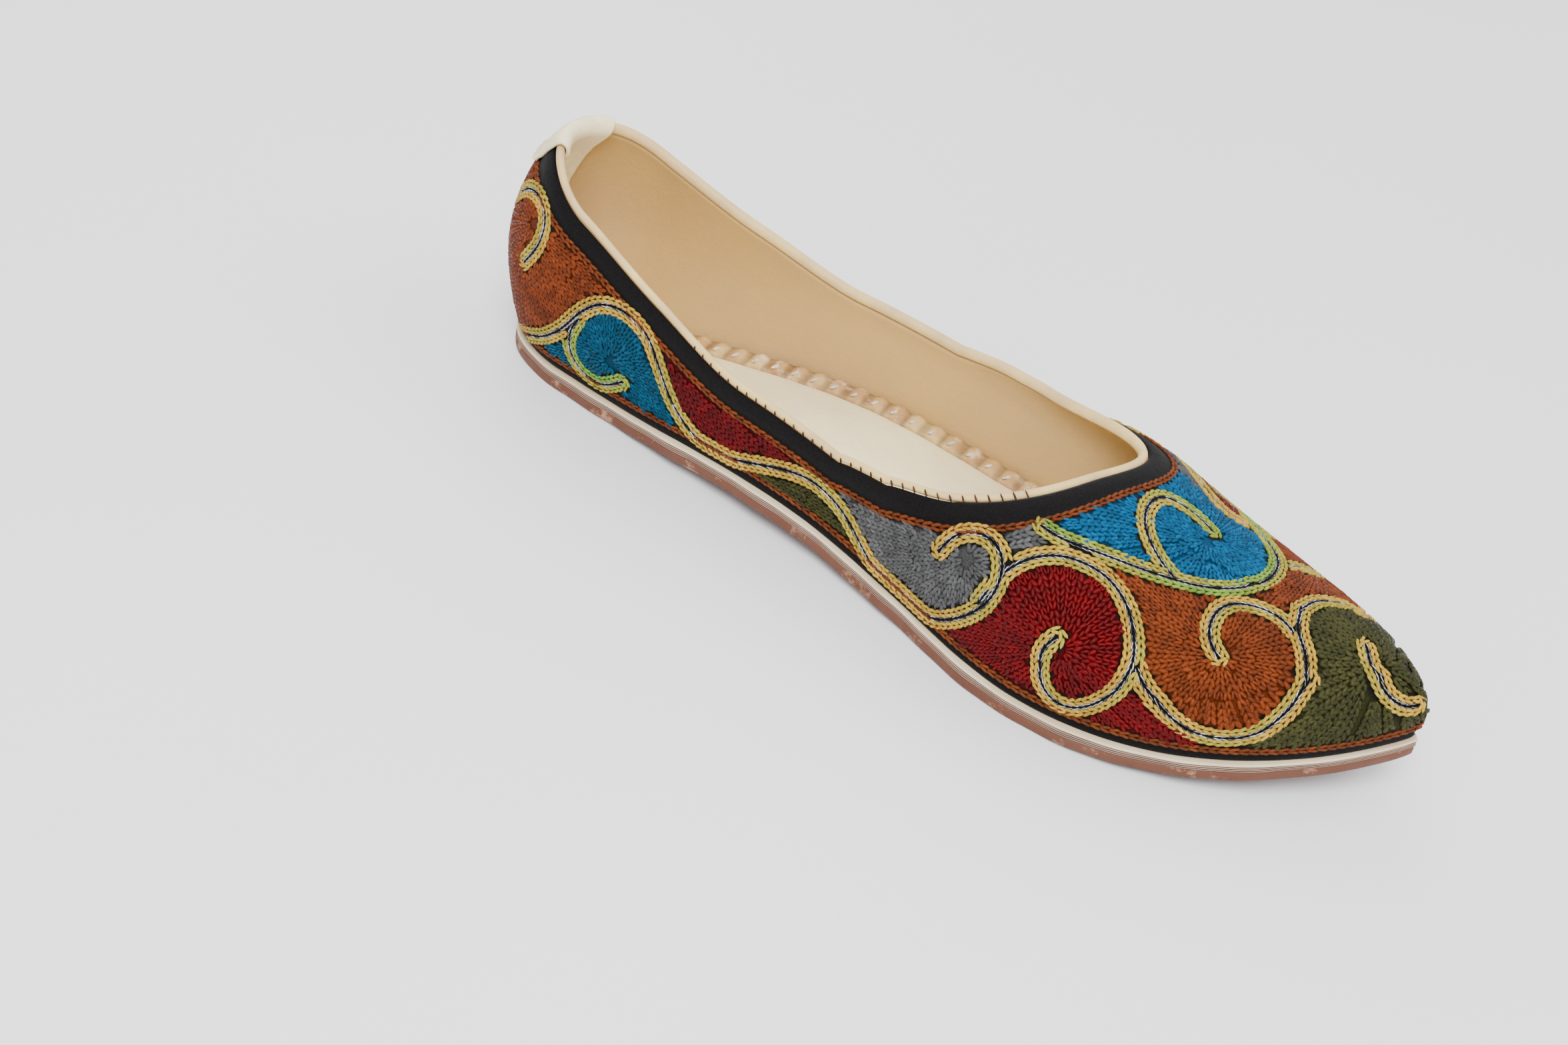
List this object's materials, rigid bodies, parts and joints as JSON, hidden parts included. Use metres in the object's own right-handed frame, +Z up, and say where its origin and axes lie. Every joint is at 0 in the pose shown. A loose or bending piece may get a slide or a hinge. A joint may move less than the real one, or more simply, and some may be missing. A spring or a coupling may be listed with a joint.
{
  "type": "mojari shoe",
  "caption": "Right mojari slip-on shoe with a pointed toe, a wide throat, an embroidered velvet upper and a thin layered leather sole.",
  "frame": {"origin": "on the floor, under the middle of the shoe's bounding box", "axes": "+X towards the toe, +Y towards the inner side of the foot, +Z up"},
  "size_m": [0.2542, 0.0814, 0.062],
  "materials": {
    "outsole_leather": "matt, scuffed",
    "midsole_layers": "matt",
    "welt_leather": "matt",
    "embroidered_velvet": "chain stitched",
    "insole_leather": "smooth",
    "strip_leather": "pleated",
    "binding_leather": "smooth",
    "tab_leather": "smooth"
  },
  "bodies": {
    "root": {"outsole": "outsole_leather", "midsole": "midsole_layers", "welt": "welt_leather", "upper": "embroidered_velvet", "insole": "insole_leather", "lasting_strip": "strip_leather", "topline_binding": "binding_leather", "heel_tab": "tab_leather"}
  },
  "joints": []
}
